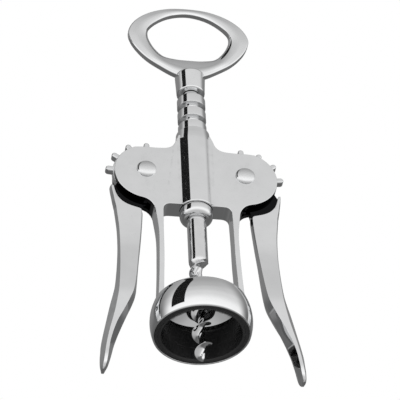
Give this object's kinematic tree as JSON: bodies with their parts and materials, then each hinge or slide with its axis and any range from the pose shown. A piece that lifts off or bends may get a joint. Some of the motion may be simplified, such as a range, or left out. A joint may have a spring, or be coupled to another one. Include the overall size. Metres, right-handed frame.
{
  "type": "lever corkscrew",
  "caption": "Wing corkscrew: two toothed levers drive a ringed rack that lifts a spindle and worm through a bell-mouthed frame, with a bottle-opener ring as its handle.",
  "frame": {"origin": "centre of the bell's mouth, level with its rim, where the bottle's lip enters", "axes": "+Z along the spindle from the bell to the handle, +X from the left lever to the right lever, -Y out of the front face that shows the domed rivet heads"},
  "size_m": [0.0788, 0.0396, 0.1902],
  "materials": {
    "cast_chrome": "bright chrome plate over a polished casting",
    "rivet_chrome": "chrome plate, slightly duller than the castings",
    "collar_chrome": "chrome plate, tumbled edges",
    "worm_steel": "nickel-bright steel rod and worm",
    "liner_black": "moulded black plastic with a slight sheen"
  },
  "bodies": {
    "frame": {"body_frame": "cast_chrome", "bell_shell": "cast_chrome", "bell_liner": "liner_black", "pivot_rivet_left": "rivet_chrome", "pivot_rivet_right": "rivet_chrome"},
    "left_lever": {"lever_left": "cast_chrome"},
    "right_lever": {"lever_right": "cast_chrome"},
    "slide": {"stop_collar": "collar_chrome"},
    "spindle": {"handle_opener": "cast_chrome", "rack_sleeve": "cast_chrome", "worm_spindle": "worm_steel"}
  },
  "joints": [
    {"name": "left_lever_swing", "type": "hinge", "parent": "frame", "child": "left_lever", "pos_m": [-0.0198, 0, 0.0782], "axis": [0, 1, 0], "range_deg": [0, 120]},
    {"name": "right_lever_swing", "type": "hinge", "parent": "frame", "child": "right_lever", "pos_m": [0.0198, 0, 0.0782], "axis": [0, -1, 0], "range_deg": [0, 120]},
    {"name": "rack_slide", "type": "slide", "parent": "frame", "child": "slide", "axis": [0, 0, -1], "range_m": [0, 0.02942]},
    {"name": "worm_spin", "type": "hinge", "parent": "slide", "child": "spindle", "pos_m": [0, 0, 0.0587], "axis": [0, 0, 1], "continuous": true}
  ],
  "couplings": [
    {"joint": "right_lever_swing", "follows": "left_lever_swing", "ratio": 1},
    {"joint": "rack_slide", "follows": "left_lever_swing", "m_per_rad": 0.014}
  ]
}
